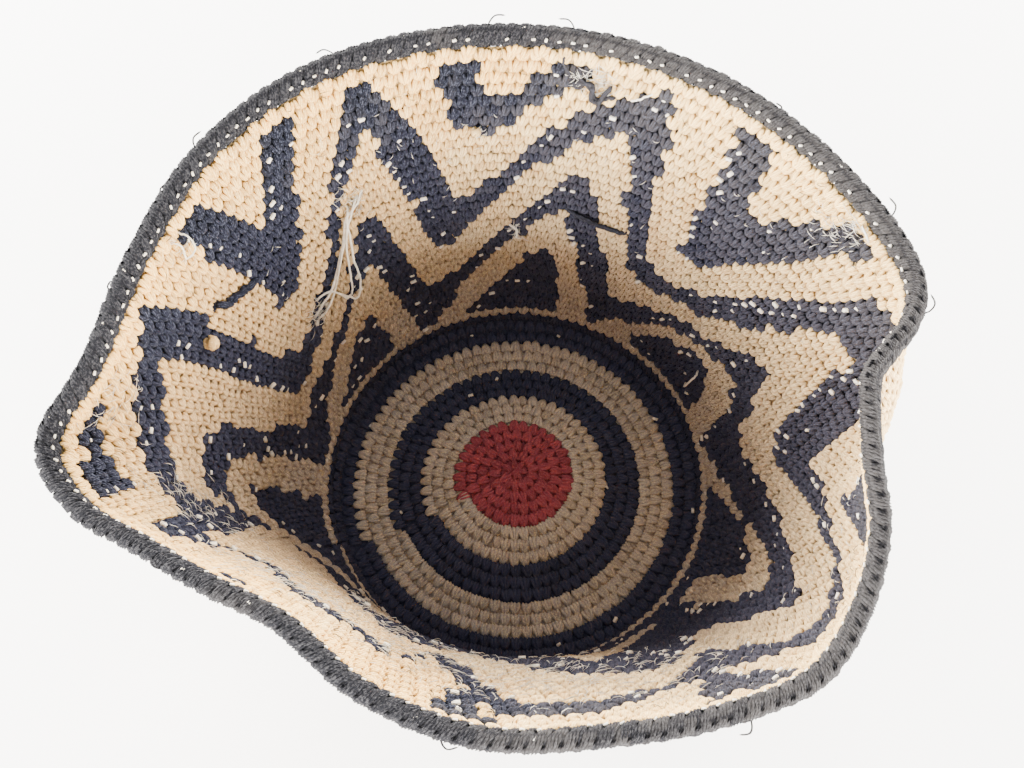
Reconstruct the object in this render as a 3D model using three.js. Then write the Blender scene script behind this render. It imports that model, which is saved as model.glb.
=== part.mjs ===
// A crocheted cotton hat lying on its crown, with its mouth up and its soft brim fallen into waves.
// Millimetres, +Z up, resting on Z = 0. The near side of the hat is -Y.
import * as THREE from 'three';

// Driving sizes
const crownRadius = 76;       // inner face of the flat crown, from its middle to the corner
const crownRise = 15;         // how far the middle of the crown is pushed up from the table
const restingRingInner = 58;  // inside this radius the crown lifts off the table
const cornerRadius = 6;       // inner face, where the crown turns up into the wall
const wallThickness = 3.5;    // crocheted fabric, from its inner to its outer face
const bendHeight = 64;        // where the steep wall turns outwards into the brim
const brimReach = 105;        // middle of the brim, from the hat's axis
const brimHeight = 104;       // middle of the brim, above the inner face of the crown
const rimReach = 128;         // edge of the hat, from its axis
const rimHeight = 137;        // edge of the hat, above the inner face of the crown
const edgingHeight = 8;       // the dark rounds worked last round the edge, along the fabric
const edgingThickness = 6.2;  // the same rounds, across the fabric
const pieceGap = 0.3;         // between the end of the fabric and the edging

// How finely the faces are laid
const columnsPerSection = 4;
const crownRings = 5;
const cornerRings = 3;
const wallRings = 13;
const edgingSides = 10;

// The hat cut by upright planes through its axis, a row for each section round it, turned
// anticlockwise from +X as seen from above. bendOut is a share of crownRadius, bendUp of bendHeight,
// midOut of brimReach, midUp of brimHeight, rimOut of rimReach and rimUp of rimHeight.
const sections = [
  { turn: -178, bendOut: 1.36, bendUp: 0.97, midOut: 1.17, midUp: 0.95, rimOut: 1.08, rimUp: 0.94 },
  { turn: -169, bendOut: 1.44, bendUp: 0.97, midOut: 1.22, midUp: 0.94, rimOut: 1.20, rimUp: 0.90 },
  { turn: -160, bendOut: 1.40, bendUp: 0.99, midOut: 1.19, midUp: 0.96, rimOut: 1.14, rimUp: 0.92 },
  { turn: -151, bendOut: 1.28, bendUp: 1.03, midOut: 1.11, midUp: 0.99, rimOut: 1.02, rimUp: 0.96 },
  { turn: -139, bendOut: 1.18, bendUp: 1.06, midOut: 0.99, midUp: 1.02, rimOut: 0.93, rimUp: 1.02 },
  { turn: -127, bendOut: 1.13, bendUp: 1.06, midOut: 0.94, midUp: 1.03, rimOut: 0.875, rimUp: 1.04 },
  { turn: -112, bendOut: 1.12, bendUp: 1.03, midOut: 0.96, midUp: 1.02, rimOut: 0.915, rimUp: 1.02 },
  { turn: -95, bendOut: 1.13, bendUp: 1.02, midOut: 1.00, midUp: 1.00, rimOut: 0.95, rimUp: 1.01 },
  { turn: -78, bendOut: 1.15, bendUp: 1.00, midOut: 1.02, midUp: 0.99, rimOut: 0.96, rimUp: 1.00 },
  { turn: -63, bendOut: 1.24, bendUp: 0.99, midOut: 1.10, midUp: 0.99, rimOut: 1.00, rimUp: 0.98 },
  { turn: -50, bendOut: 1.36, bendUp: 0.98, midOut: 1.17, midUp: 0.98, rimOut: 1.045, rimUp: 0.97 },
  { turn: -39, bendOut: 1.42, bendUp: 0.97, midOut: 1.20, midUp: 0.98, rimOut: 1.005, rimUp: 0.98 },
  { turn: -30, bendOut: 1.42, bendUp: 0.97, midOut: 1.17, midUp: 1.00, rimOut: 0.95, rimUp: 1.01 },
  { turn: -22, bendOut: 1.38, bendUp: 0.97, midOut: 1.12, midUp: 1.02, rimOut: 0.875, rimUp: 1.04 },
  { turn: -14, bendOut: 1.35, bendUp: 0.97, midOut: 1.115, midUp: 1.01, rimOut: 0.84, rimUp: 1.04 },
  { turn: -7, bendOut: 1.31, bendUp: 0.97, midOut: 1.155, midUp: 1.00, rimOut: 0.835, rimUp: 1.04 },
  { turn: -1, bendOut: 1.27, bendUp: 0.97, midOut: 1.185, midUp: 0.99, rimOut: 0.895, rimUp: 1.02 },
  { turn: 4, bendOut: 1.24, bendUp: 0.97, midOut: 1.175, midUp: 0.985, rimOut: 0.97, rimUp: 1.00 },
  { turn: 10, bendOut: 1.21, bendUp: 0.97, midOut: 1.14, midUp: 0.99, rimOut: 1.03, rimUp: 0.98 },
  { turn: 18, bendOut: 1.17, bendUp: 0.97, midOut: 1.11, midUp: 0.99, rimOut: 1.03, rimUp: 0.98 },
  { turn: 35, bendOut: 1.125, bendUp: 0.99, midOut: 1.04, midUp: 1.00, rimOut: 0.99, rimUp: 0.995 },
  { turn: 55, bendOut: 1.11, bendUp: 1.005, midOut: 0.995, midUp: 1.00, rimOut: 0.962, rimUp: 1.01 },
  { turn: 78, bendOut: 1.11, bendUp: 1.02, midOut: 0.99, midUp: 1.00, rimOut: 0.955, rimUp: 1.01 },
  { turn: 102, bendOut: 1.11, bendUp: 1.02, midOut: 1.00, midUp: 1.00, rimOut: 0.978, rimUp: 1.00 },
  { turn: 125, bendOut: 1.12, bendUp: 1.01, midOut: 1.02, midUp: 1.00, rimOut: 1.01, rimUp: 1.00 },
  { turn: 145, bendOut: 1.13, bendUp: 0.99, midOut: 1.04, midUp: 1.00, rimOut: 1.025, rimUp: 0.99 },
  { turn: 165, bendOut: 1.22, bendUp: 0.98, midOut: 1.07, midUp: 0.98, rimOut: 1.02, rimUp: 0.98 },
];

const cotton = (color) => new THREE.MeshStandardMaterial({ color, roughness: 0.95, metalness: 0 });

// A closed curve round the hat through one point of every section
function loopRound(outShare, reach, upShare, height) {
  const points = sections.map((section) => {
    const angle = THREE.MathUtils.degToRad(section.turn);
    const out = section[outShare] * reach;
    return new THREE.Vector3(out * Math.cos(angle), out * Math.sin(angle), section[upShare] * height);
  });
  return new THREE.CatmullRomCurve3(points, true, 'centripetal');
}

const bendLoop = loopRound('bendOut', crownRadius, 'bendUp', bendHeight);
const midLoop = loopRound('midOut', brimReach, 'midUp', brimHeight);
const rimLoop = loopRound('rimOut', rimReach, 'rimUp', rimHeight);
const columnCount = sections.length * columnsPerSection;

// The inner face of the wall in one column, from the corner of the crown to the edge of the hat
function wallLine(column) {
  const share = column / columnCount;
  const rim = rimLoop.getPoint(share);
  const mid = midLoop.getPoint(share);
  const bend = bendLoop.getPoint(share);
  const angle = Math.atan2(bend.y, bend.x);
  const foot = new THREE.Vector3(Math.cos(angle), Math.sin(angle), 0).multiplyScalar(crownRadius);
  foot.z = cornerRadius;
  const line = new THREE.CatmullRomCurve3([foot, bend, mid, rim], false, 'centripetal');
  return { line, angle };
}

// One ring of points for every station from the middle of the crown to the end of the fabric.
// Each point keeps its place on the inner face and the way out of the hat there.
function fabricColumn(column) {
  const { line, angle } = wallLine(column);
  const outwards = new THREE.Vector3(Math.cos(angle), Math.sin(angle), 0);
  const sideways = new THREE.Vector3(-outwards.y, outwards.x, 0);
  const stations = [];
  const cornerStart = crownRadius - cornerRadius;
  for (let ring = 1; ring <= crownRings; ring += 1) {
    const share = ring / crownRings;
    const point = outwards.clone().multiplyScalar(restingRingInner * share);
    point.z = crownRise * (1 - share ** 2) ** 2;
    stations.push({ point, normal: new THREE.Vector3(0, 0, -1) });
  }
  for (let ring = 0; ring < cornerRings; ring += 1) {
    const bendAngle = (Math.PI / 2) * (ring / cornerRings);
    const normal = outwards.clone().multiplyScalar(Math.sin(bendAngle));
    normal.z = -Math.cos(bendAngle);
    const point = outwards.clone().multiplyScalar(cornerStart).addScaledVector(normal, cornerRadius);
    point.z += cornerRadius;
    stations.push({ point, normal });
  }
  const length = line.getLength();
  const fabricEnd = 1 - (edgingHeight + pieceGap) / length;
  for (let ring = 0; ring <= wallRings; ring += 1) {
    const share = (fabricEnd * ring) / wallRings;
    const point = line.getPointAt(share);
    const normal = sideways.clone().cross(line.getTangentAt(share)).normalize();
    stations.push({ point, normal });
  }
  return stations;
}

// Joins rings of points into one closed skin. It either starts and ends at a pole, a ring of one
// point, or is a tube whose last ring meets its first.
function skin(rings, closedTube) {
  const positions = [];
  const starts = rings.map((ring) => {
    const start = positions.length / 3;
    ring.forEach((point) => positions.push(point.x, point.y, point.z));
    return start;
  });
  const indices = [];
  const pairs = closedTube ? rings.length : rings.length - 1;
  for (let low = 0; low < pairs; low += 1) {
    const high = (low + 1) % rings.length;
    const lowCount = rings[low].length;
    const highCount = rings[high].length;
    for (let column = 0; column < columnCount; column += 1) {
      const next = column + 1;
      const a = starts[low] + (column % lowCount);
      const b = starts[low] + (next % lowCount);
      const c = starts[high] + (next % highCount);
      const d = starts[high] + (column % highCount);
      if (lowCount > 1) indices.push(a, c, b);
      if (highCount > 1) indices.push(a, d, c);
    }
  }
  const geometry = new THREE.BufferGeometry();
  geometry.setAttribute('position', new THREE.Float32BufferAttribute(positions, 3));
  geometry.setIndex(indices);
  geometry.computeVertexNormals();
  return geometry;
}

function named(name, geometry, material) {
  const mesh = new THREE.Mesh(geometry, material);
  mesh.name = name;
  return mesh;
}

// Crown and wall are crocheted in one piece: up the inner face, over the end and down the outer face
function crochetedBody() {
  const columns = Array.from({ length: columnCount }, (_, column) => fabricColumn(column));
  const face = (station, depth) => columns.map((stations) => {
    const { point, normal } = stations[station];
    return point.clone().addScaledVector(normal, depth);
  });
  const innerMiddle = [new THREE.Vector3(0, 0, crownRise)];
  const outerMiddle = [new THREE.Vector3(0, 0, crownRise - wallThickness)];
  const rings = [innerMiddle];
  const stationCount = columns[0].length;
  for (let station = 0; station < stationCount; station += 1) rings.push(face(station, 0));
  for (let station = stationCount - 1; station >= 0; station -= 1) {
    rings.push(face(station, wallThickness));
  }
  rings.push(outerMiddle);
  return named('crocheted_body', skin(rings, false), cotton(0xcdbfa6));
}

// The last rounds, in dark yarn: a thicker roll that sits on the end of the fabric
function rimEdging() {
  const rings = Array.from({ length: edgingSides }, () => []);
  for (let column = 0; column < columnCount; column += 1) {
    const { line, angle } = wallLine(column);
    const sideways = new THREE.Vector3(-Math.sin(angle), Math.cos(angle), 0);
    const length = line.getLength();
    const middleShare = 1 - edgingHeight / 2 / length;
    const along = line.getTangentAt(middleShare);
    const across = sideways.clone().cross(along).normalize();
    const middle = line.getPointAt(middleShare).addScaledVector(across, wallThickness / 2);
    rings.forEach((ring, side) => {
      const turn = (2 * Math.PI * side) / edgingSides;
      const point = middle.clone();
      point.addScaledVector(along, (edgingHeight / 2) * Math.cos(turn));
      point.addScaledVector(across, (edgingThickness / 2) * Math.sin(turn));
      ring.push(point);
    });
  }
  return named('rim_edging', skin(rings, true), cotton(0x565a66));
}

// The origin is on the table, under the middle of the hat's box
const hat = new THREE.Group();
hat.add(crochetedBody(), rimEdging());
const box = new THREE.Box3().setFromObject(hat);
const middle = box.getCenter(new THREE.Vector3());
hat.position.set(-middle.x, -middle.y, -box.min.z);
hat.updateMatrixWorld(true);

export default hat;
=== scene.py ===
# %% [markdown]
# # A crocheted hat, lying on its crown
# The hat is one soft shell of thick cotton single crochet. It starts in the middle of the crown,
# runs out in rounds, turns up into the wall and flares into a wavy brim with a dark edging.
# Everything here is laid on that shell: small plump stitches, about six thousand on each face, in
# the three yarns of the real hat.

# %% Load the frame, and bake each part's placement into its mesh
import math

import bpy
import numpy as np
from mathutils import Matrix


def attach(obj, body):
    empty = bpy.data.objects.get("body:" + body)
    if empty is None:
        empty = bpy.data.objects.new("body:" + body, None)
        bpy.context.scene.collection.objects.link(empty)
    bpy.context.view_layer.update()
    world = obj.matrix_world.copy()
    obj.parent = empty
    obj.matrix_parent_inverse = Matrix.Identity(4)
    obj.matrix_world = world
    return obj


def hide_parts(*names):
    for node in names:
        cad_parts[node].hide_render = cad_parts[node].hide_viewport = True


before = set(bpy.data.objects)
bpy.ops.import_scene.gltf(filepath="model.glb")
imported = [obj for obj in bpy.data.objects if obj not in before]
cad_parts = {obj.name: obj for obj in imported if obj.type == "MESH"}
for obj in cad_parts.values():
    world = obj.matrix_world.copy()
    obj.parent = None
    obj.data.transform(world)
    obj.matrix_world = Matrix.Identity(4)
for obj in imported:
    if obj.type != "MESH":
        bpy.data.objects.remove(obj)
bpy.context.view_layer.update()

MM = 0.001

# %% [markdown]
# ## The shape of the shell
# The fabric follows the same named sizes as the frame: a flat crown pushed up in its middle, a
# tight corner, a steep wall that bends outwards, and a brim. A row of the table below is one
# upright cut through the hat. Its columns are the turn round the hat in degrees, and then how far
# out and how high the bend, the middle of the brim and the rim lie, as shares of the named sizes.
# Rebuilding the shell from the rule, and not from the frame's facets, gives it smooth and at any
# place, which the stitches need.

# %% Sizes of the hat, in millimetres
crown_radius = 76.0
crown_rise = 15.0
resting_ring_inner = 58.0
corner_radius = 6.0
wall_thickness = 3.5
bend_height = 64.0
brim_reach = 105.0
brim_height = 104.0
rim_reach = 128.0
rim_height = 137.0
edging_height = 8.0
edging_thickness = 6.2
edging_gap = 0.3

# turn, bend out, bend up, middle out, middle up, rim out, rim up
sections = (
    (-178, 1.36, 0.97, 1.17, 0.95, 1.08, 0.94),
    (-169, 1.44, 0.97, 1.22, 0.94, 1.20, 0.90),
    (-160, 1.40, 0.99, 1.19, 0.96, 1.14, 0.92),
    (-151, 1.28, 1.03, 1.11, 0.99, 1.02, 0.96),
    (-139, 1.18, 1.06, 0.99, 1.02, 0.93, 1.02),
    (-127, 1.13, 1.06, 0.94, 1.03, 0.875, 1.04),
    (-112, 1.12, 1.03, 0.96, 1.02, 0.915, 1.02),
    (-95, 1.13, 1.02, 1.00, 1.00, 0.95, 1.01),
    (-78, 1.15, 1.00, 1.02, 0.99, 0.96, 1.00),
    (-63, 1.24, 0.99, 1.10, 0.99, 1.00, 0.98),
    (-50, 1.36, 0.98, 1.17, 0.98, 1.045, 0.97),
    (-39, 1.42, 0.97, 1.20, 0.98, 1.005, 0.98),
    (-30, 1.42, 0.97, 1.17, 1.00, 0.95, 1.01),
    (-22, 1.38, 0.97, 1.12, 1.02, 0.875, 1.04),
    (-14, 1.35, 0.97, 1.115, 1.01, 0.84, 1.04),
    (-7, 1.31, 0.97, 1.155, 1.00, 0.835, 1.04),
    (-1, 1.27, 0.97, 1.185, 0.99, 0.895, 1.02),
    (4, 1.24, 0.97, 1.175, 0.985, 0.97, 1.00),
    (10, 1.21, 0.97, 1.14, 0.99, 1.03, 0.98),
    (18, 1.17, 0.97, 1.11, 0.99, 1.03, 0.98),
    (35, 1.125, 0.99, 1.04, 1.00, 0.99, 0.995),
    (55, 1.11, 1.005, 0.995, 1.00, 0.962, 1.01),
    (78, 1.11, 1.02, 0.99, 1.00, 0.955, 1.01),
    (102, 1.11, 1.02, 1.00, 1.00, 0.978, 1.00),
    (125, 1.12, 1.01, 1.02, 1.00, 1.01, 1.00),
    (145, 1.13, 0.99, 1.04, 1.00, 1.025, 0.99),
    (165, 1.22, 0.98, 1.07, 0.98, 1.02, 0.98),
)


# %% [markdown]
# A smooth curve through a few points: a centripetal curve passes through every point without
# loops or overshoot, so a short table is enough to draw the waves of the brim.

# %% Smooth curves through points
def curve_stretch(before, start, end, after, t):
    """Points between start and end, for t from 0 to 1, of a centripetal curve."""
    step_0 = np.sqrt(np.linalg.norm(start - before, axis=-1, keepdims=True))
    step_1 = np.sqrt(np.linalg.norm(end - start, axis=-1, keepdims=True))
    step_2 = np.sqrt(np.linalg.norm(after - end, axis=-1, keepdims=True))
    chord = (end - start) / step_1
    leave = (start - before) / step_0 - (end - before) / (step_0 + step_1) + chord
    arrive = chord - (after - start) / (step_1 + step_2) + (after - end) / step_2
    leave = leave * step_1
    arrive = arrive * step_1
    square = 3 * (end - start) - 2 * leave - arrive
    cube = 2 * (start - end) + leave + arrive
    return start + leave * t + square * t**2 + cube * t**3


def loop_points(points, count):
    """count points round a closed curve, evenly shared between its own points."""
    place = np.arange(count) * len(points) / count
    here = place.astype(int)
    t = (place - here)[:, None]
    near = [points[(here + step) % len(points)] for step in (-1, 0, 1, 2)]
    return curve_stretch(*near, t)


def open_curve(points, steps):
    """Points along an open curve through a few points; each point may be a whole ring."""
    first = 2 * points[0] - points[1]
    last = 2 * points[-1] - points[-2]
    path = [first, *points, last]
    line = [points[0]]
    for i in range(1, len(path) - 2):
        for t in np.arange(1, steps + 1) / steps:
            line.append(curve_stretch(path[i - 1], path[i], path[i + 1], path[i + 2], t))
    return np.array(line)


# %% [markdown]
# ## Rounds of crochet as the ruler
# A place on the shell is given by two numbers: the round, counted from the middle of the crown,
# and the column round the hat. The numbers of rounds are not a tally. They are judged from the
# height of the rows at a few places in the photo: about 17 in the crown and about 36 up the wall,
# then two of edging. The rounds are tallest near the corner and the rim and shortest at the bend,
# where the fabric is bent over, so a small wave is put on their spacing.

# %% Count of rounds, and the inner face of the shell as a grid
crown_rounds = 17
wall_rounds = 36
fabric_rounds = crown_rounds + wall_rounds
round_unevenness = 0.2
columns = 540
rows_per_round = 4
wall_curve_steps = 40

turns = np.radians([row[0] for row in sections])
table = np.array([row[1:] for row in sections])


def loop_round(out_share, reach, up_share, height):
    """A closed curve round the hat, through one point of every section."""
    out = table[:, out_share] * reach
    up = table[:, up_share] * height
    points = np.stack([out * np.cos(turns), out * np.sin(turns), up], axis=1)
    return loop_points(points, columns)


bend = loop_round(0, crown_radius, 1, bend_height)
middle = loop_round(2, brim_reach, 3, brim_height)
rim = loop_round(4, rim_reach, 5, rim_height)
bend_angle = np.arctan2(bend[:, 1], bend[:, 0])
outwards = np.stack([np.cos(bend_angle), np.sin(bend_angle), 0 * bend_angle], axis=1)
foot = outwards * crown_radius + [0, 0, corner_radius]
wall_line = open_curve([foot, bend, middle, rim], wall_curve_steps)
wall_steps = np.linalg.norm(np.diff(wall_line, axis=0), axis=2)
wall_run = np.vstack([np.zeros(columns), np.cumsum(wall_steps, axis=0)])
wall_length = wall_run[-1]
fabric_length = wall_length - edging_height - edging_gap


def up_the_wall(run):
    """Points of the wall's inner face, one for each column, at that run of fabric in mm."""
    point = np.empty((columns, 3))
    for column in range(columns):
        for axis in range(3):
            line = wall_line[:, column, axis]
            point[column, axis] = np.interp(run[column], wall_run[:, column], line)
    return point


def across_the_crown(run):
    """Points of the crown's inner face at that run from its middle, with the corner's arc."""
    corner_start = crown_radius - corner_radius
    if run <= corner_start:
        share = min(run / resting_ring_inner, 1)
        return outwards * run + [0, 0, crown_rise * (1 - share**2) ** 2]
    angle = (run - corner_start) / corner_radius
    reach = corner_start + corner_radius * math.sin(angle)
    return outwards * reach + [0, 0, corner_radius * (1 - math.cos(angle))]


def wall_share(rounds_up):
    """How far up the fabric of the wall a round lies, from 0 to 1."""
    share = rounds_up / wall_rounds
    return share + round_unevenness * math.sin(2 * math.pi * share) / (2 * math.pi)


crown_run = crown_radius - corner_radius + corner_radius * math.pi / 2
inner_face = []
for step in range(fabric_rounds * rows_per_round + 1):
    round_here = step / rows_per_round
    if round_here < crown_rounds:
        inner_face.append(across_the_crown(crown_run * round_here / crown_rounds))
    else:
        inner_face.append(up_the_wall(fabric_length * wall_share(round_here - crown_rounds)))
inner_face = np.array(inner_face)
print("inner face:", inner_face.shape, "wall runs", fabric_length.min().round(1), "to",
      fabric_length.max().round(1), "mm")

# %% Directions on the shell, and its place in the frame
# Seen from inside the hat, across points to the right, up to the rim, and inwards at the viewer.
across_grid = np.roll(inner_face, 1, axis=1) - np.roll(inner_face, -1, axis=1)
across_grid[0] = across_grid[1]
up_grid = np.gradient(inner_face, axis=0) * rows_per_round
inwards_grid = np.cross(across_grid, up_grid)

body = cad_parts["crocheted_body"]
corners = np.empty(len(body.data.vertices) * 3)
body.data.vertices.foreach_get("co", corners)
corners = corners.reshape(-1, 3) / MM
resting = corners[corners[:, 2] < 0.01]
hat_axis = (resting.min(axis=0) + resting.max(axis=0)) / 2
hat_place = np.array([hat_axis[0], hat_axis[1], wall_thickness])
print("the hat's axis stands at", hat_place.round(2), "mm in the frame")


def unit(vectors):
    return vectors / np.linalg.norm(vectors, axis=-1, keepdims=True)


def on_grid(grid, rounds, column):
    """Values of a grid at any rounds and columns, blended from the four nearest."""
    row = np.clip(np.asarray(rounds, float), 0, fabric_rounds) * rows_per_round
    low = np.minimum(row.astype(int), len(grid) - 2)
    left = np.floor(column).astype(int)
    row_share = (row - low)[:, None]
    column_share = (column - left)[:, None]
    left = left % columns
    right = (left + 1) % columns
    lower = grid[low, left] * (1 - column_share) + grid[low, right] * column_share
    upper = grid[low + 1, left] * (1 - column_share) + grid[low + 1, right] * column_share
    return lower * (1 - row_share) + upper * row_share


# %% [markdown]
# ## The pattern
# The crown is ringed: five rounds of red, then three each of cream, indigo, cream and indigo. On
# the wall, indigo triangles stand on one cream round, and zigzag bands rise over them like nested
# peaks, seven times round the hat. Each border between two colours is a line that climbs gently on
# one side of a peak and falls steeply on the other, because crochet stitches lean. A border is
# charted as pairs of turn in degrees and height, where the whole wall is 41 high. Every
# stitch then takes the colour of the band that its own middle lies in, which gives the stepped
# edges of the real work without drawing any of them.

# %% The chart of the zigzags
chart_height = 41
borders = (
    # tops of the indigo triangles
    ((-129, 1), (-124, 14), (-104, 1), (-81, 2), (-75, 15), (-58, 4), (-33.3, 3.7), (-28.2, 13.9),
     (-2, 1), (21.3, 1.6), (22, 10), (24, 11.6), (30, 11.3), (41, 8.4), (50, 3.4), (52, 1),
     (75.5, 1), (78, 13.4), (82, 15.6), (87, 13.4), (95, 9), (107, 1.5), (130.3, 1),
     (137, 12.4), (147, 8.7), (155, 3.4), (161, 1), (187.4, 2.4), (190.5, 15), (195, 14.4),
     (216, 3)),
    # tops of the first cream band
    ((-135, 4), (-126, 20), (-100, 4), (-88, 5), (-74, 21), (-55.5, 5.5), (-42.5, 3.5), (-39, 12),
     (-32, 18.9), (-17, 9.5), (-2, 4), (11, 1.8), (13, 12), (15, 14.7), (20, 14.7), (30, 13),
     (44, 10.3), (58, 4.2), (66.5, 1.8), (71, 12), (78.5, 21.6), (85, 19), (107, 8.4),
     (116, 1.6), (120.5, 0.5), (127, 11.8), (131, 19.5), (136.5, 17.3), (155, 9.2),
     (169.5, 1.6), (176, 0.5), (182.5, 12), (186, 19.8), (197, 18), (201, 14.5), (216, 6)),
    # tops of the first indigo band
    ((-143, 12), (-136, 16), (-127, 21.5), (-117, 25.2), (-110, 22.8), (-101, 19.2), (-94, 19),
     (-84, 24), (-70, 25.2), (-60, 24), (-48, 14.7), (-44.5, 16), (-40, 21), (-36.2, 25.5),
     (-22, 17.6), (-10, 12.9), (0, 9.8), (4, 11), (8, 15.7), (13, 20.6), (16.5, 19.4),
     (27, 15.8), (40, 13.7), (53, 10.5), (58, 9.3), (61, 9.7), (66, 16.8), (73, 27), (80, 25),
     (92, 19.2), (107.5, 12.4), (114, 10), (118, 11.6), (123.5, 20), (125.5, 25.8),
     (134.5, 21), (151, 12.4), (165, 10), (169.5, 7.7), (175, 11.8), (180, 20), (183, 24.5),
     (192, 22.9), (196, 19.2), (198, 15.4), (202, 14.2), (212, 11)),
    # tops of the second cream band
    ((-143, 26.5), (-133, 30), (-121, 30.5), (-112, 31), (-107, 23.5), (-99, 25), (-92, 32),
     (-78, 33), (-62, 29), (-53.5, 21.3), (-46.5, 27), (-43, 31), (-39, 32.5), (-30, 29),
     (-26, 26.5), (-18, 22), (-5, 15.2), (0, 17), (4, 24), (6, 30), (10, 31.3), (14, 28.4),
     (17, 25.2), (22, 22), (32.5, 17.6), (45, 15.8), (52, 14.2), (57.5, 16.3), (63, 22.6),
     (65.5, 30), (67.5, 33.6), (76.5, 30.5), (88.5, 25.8), (100, 20.8), (110, 16.6),
     (112, 17.3), (116.5, 27), (120, 34.8), (126.5, 30.5), (137, 22.6), (148, 17.6),
     (160, 13), (166, 13), (169.5, 16.6), (173, 26), (175.5, 34.8), (185, 30.3),
     (196, 26.5), (197.5, 17), (200, 15.3), (203.5, 21), (206, 31), (211, 28)),
    # tops of the second indigo band
    ((-143, 28), (-133, 32.5), (-121, 32), (-112, 32.5), (-107, 25.5), (-99, 31), (-92, 37),
     (-78, 37), (-64, 31), (-58, 30), (-53.5, 29), (-47, 31.5), (-43, 36), (-40, 36),
     (-30, 30.5), (-25, 27.4), (-15, 24), (-9.5, 21.3), (-6, 25), (-2, 31), (2, 36), (9, 39.4),
     (13, 35), (16.5, 31.8), (21.5, 27.3), (30.5, 22), (40.5, 18.7), (49, 17.5), (53.5, 19),
     (58.5, 28), (59, 35), (62, 40), (74, 35), (86, 30.5), (95.5, 25.5), (103, 23),
     (107, 24.5), (110, 32.3), (113, 35.7), (118, 40), (122.5, 38), (130, 30.5),
     (141, 22.6), (153, 18.3), (159, 17.3), (163, 20), (168, 35), (171, 40), (179.5, 37),
     (190, 32.9), (198, 30), (200.5, 29.5), (204.5, 37), (207, 36), (211, 30)),
    # tops of the third cream band
    ((-146, 41), (-139.5, 37.6), (-133, 41), (-104, 41), (-101, 33), (-97, 31), (-93, 41),
     (-64, 41), (-61, 33), (-56.5, 28.1), (-53, 33), (-50, 41), (-36, 41), (-30, 36.5),
     (-24, 32), (-19.5, 28.4), (-16, 34), (-10, 41), (18, 39.4), (25.5, 32.3), (33.5, 26.5),
     (42, 22.3), (47, 22.3), (48, 35), (49, 41), (74, 41), (78, 37.5), (91, 32.5),
     (99, 30.2), (102.5, 33), (106, 41), (130, 41), (132.5, 37), (140.5, 28.6), (150, 23.3),
     (154.5, 23.3), (157, 32), (159, 41), (183, 41), (187.5, 38.1), (196.7, 34.3),
     (198.5, 38.4), (200, 41)),
    # tops of the third indigo band, inside which the last cream shows
    ((-104, 41), (-99, 39), (-94, 41), (-62, 41), (-58, 36), (-55.5, 41), (-30, 41),
     (-10, 41), (22, 41), (28, 36.5), (36, 31.4), (39, 31.4), (40.3, 35.7), (42, 41),
     (80, 41), (86, 38), (92, 35.2), (95, 35.2), (98.8, 41), (135, 41), (142, 34.7),
     (145, 32.3), (148, 32.3), (152, 39.4), (152.5, 41), (188, 40), (193, 38.1),
     (195.5, 41)),
)
last_cream_height = 39.6

CREAM, INDIGO, RED = 0, 1, 2
crown_bands = ((5, RED), (8, CREAM), (11, INDIGO), (14, CREAM), (crown_rounds, INDIGO),
               (crown_rounds + 1, CREAM))


def yarn_on_wall(turn, height):
    """The yarn at each turn in degrees and height on the chart, above the first cream round."""
    bands_below = np.zeros(len(turn), int)
    for border in borders:
        border_turn, border_height = zip(*border)
        line = np.interp(turn, border_turn, border_height, period=360)
        bands_below += height > line
    yarn = np.where(bands_below % 2 == 0, INDIGO, CREAM)
    return np.where(height > last_cream_height, CREAM, yarn)


def yarn_on_crown(round_number):
    """The yarn of a round of the crown, or of the single cream round at the foot of the wall."""
    return next(yarn for last_round, yarn in crown_bands if round_number <= last_round)


# %% [markdown]
# ## Where the stitches sit
# The rounds are one long spiral, as the real hat is worked: every stitch is a little higher than
# the one before it, which shows as a jog in the crown's rings. The number of stitches grows on the
# crown by about seven in each round, and again towards the brim. Each stitch sits a quarter of a
# stitch to the left of the one below it, and that lean is what makes one side of each zigzag steep.

# %% Lay the stitches on the spiral
foot_stitches = 112
rim_stitches = 154
widening = (2, 24)
lean = 0.24
peaks = 7
settling_rounds = 10
jog_turn = -157
stitch_rng = np.random.default_rng(11)


def stitches_in_round(number):
    """How many stitches that round has, counted from the middle of the crown."""
    if number <= crown_rounds:
        return round(foot_stitches * number / crown_rounds)
    share = (number - crown_rounds - widening[0]) / (widening[1] - widening[0])
    share = min(max(share, 0), 1)
    repeats = round((rim_stitches - foot_stitches) / peaks * share)
    return foot_stitches + peaks * repeats


def lay_round(number, phase):
    """Places of one round's stitches: round, column, width, and their yarn."""
    count = stitches_in_round(number)
    share = np.sort(((np.arange(count) + phase) / count) % 1)
    settle = min(1, (fabric_rounds - number) / settling_rounds)
    rounds = number - 0.5 + (share - 0.5) * settle
    ring = on_grid(inner_face, np.full(columns, number - 0.5), np.arange(columns))
    seam = np.argmin(np.abs(np.degrees(np.arctan2(ring[:, 1], ring[:, 0])) - jog_turn))
    ring = np.roll(ring, -seam, axis=0)
    steps = np.linalg.norm(np.roll(ring, -1, axis=0) - ring, axis=1)
    run = np.concatenate([[0], np.cumsum(steps)])
    column = np.interp(share * run[-1], run, np.arange(columns + 1)) + seam
    middle_point = on_grid(inner_face, rounds, column)
    turn = np.degrees(np.arctan2(middle_point[:, 1], middle_point[:, 0]))
    if number <= crown_rounds + 1:
        yarn = np.full(count, yarn_on_crown(number))
    else:
        height = np.array([wall_share(r - crown_rounds) for r in rounds]) * chart_height
        yarn = yarn_on_wall(turn, height)
    return rounds, column, np.full(count, run[-1] / count), yarn


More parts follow.
